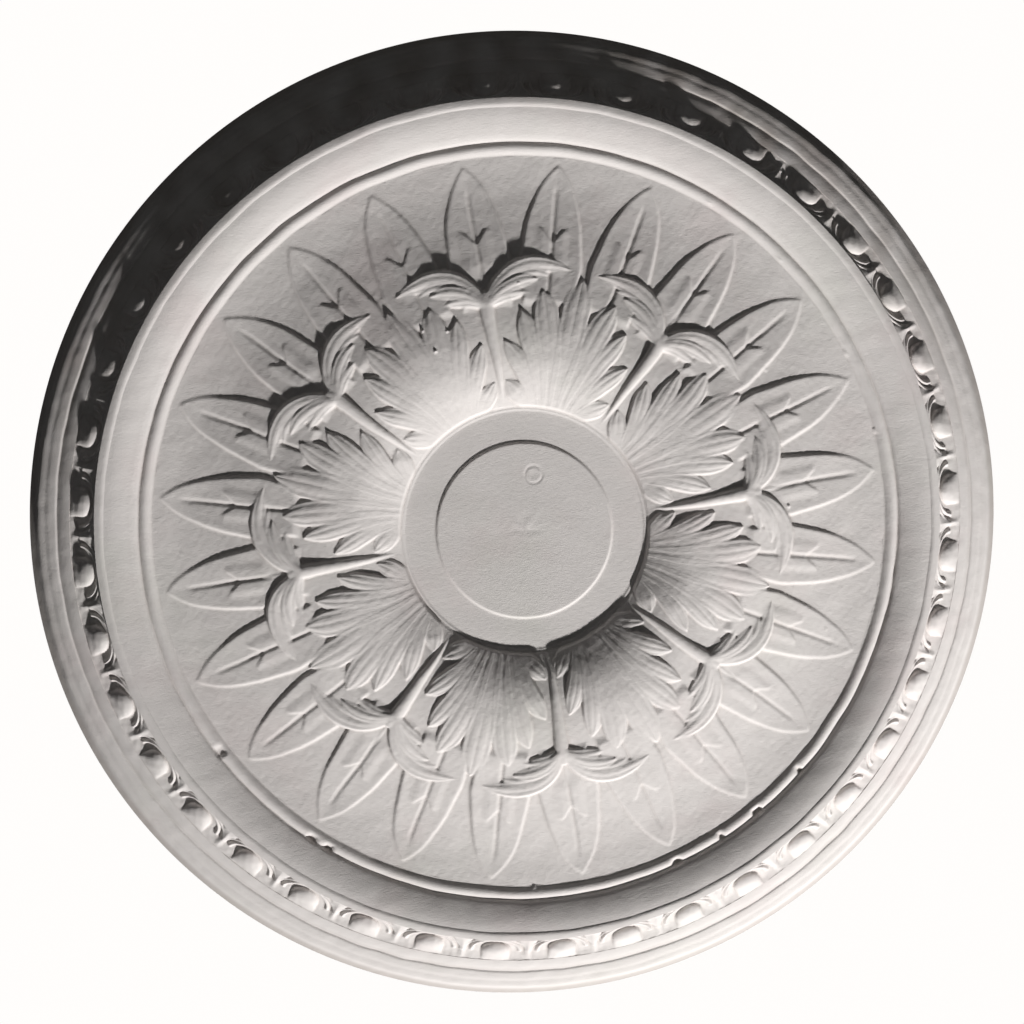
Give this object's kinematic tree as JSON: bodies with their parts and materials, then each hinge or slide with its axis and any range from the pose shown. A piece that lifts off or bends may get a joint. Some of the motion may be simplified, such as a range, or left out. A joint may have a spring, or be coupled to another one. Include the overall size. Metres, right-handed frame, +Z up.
{
  "type": "ceiling rose",
  "caption": "Round plaster ceiling rose with an egg-and-dart rim, lance leaves and an acanthus ring round a recessed flat lamp seat.",
  "frame": {"origin": "centre of the flat back, where it meets the ceiling", "axes": "+Z up, out of the back towards the ceiling, and the carved face looks down; +X lies along one of the eight stems"},
  "size_m": [0.5999, 0.6, 0.0377],
  "materials": {
    "plaster": "matt cast plaster, off-white, brushed and lightly soiled"
  },
  "bodies": {
    "root": {"ceiling_rose": "plaster"}
  },
  "joints": []
}
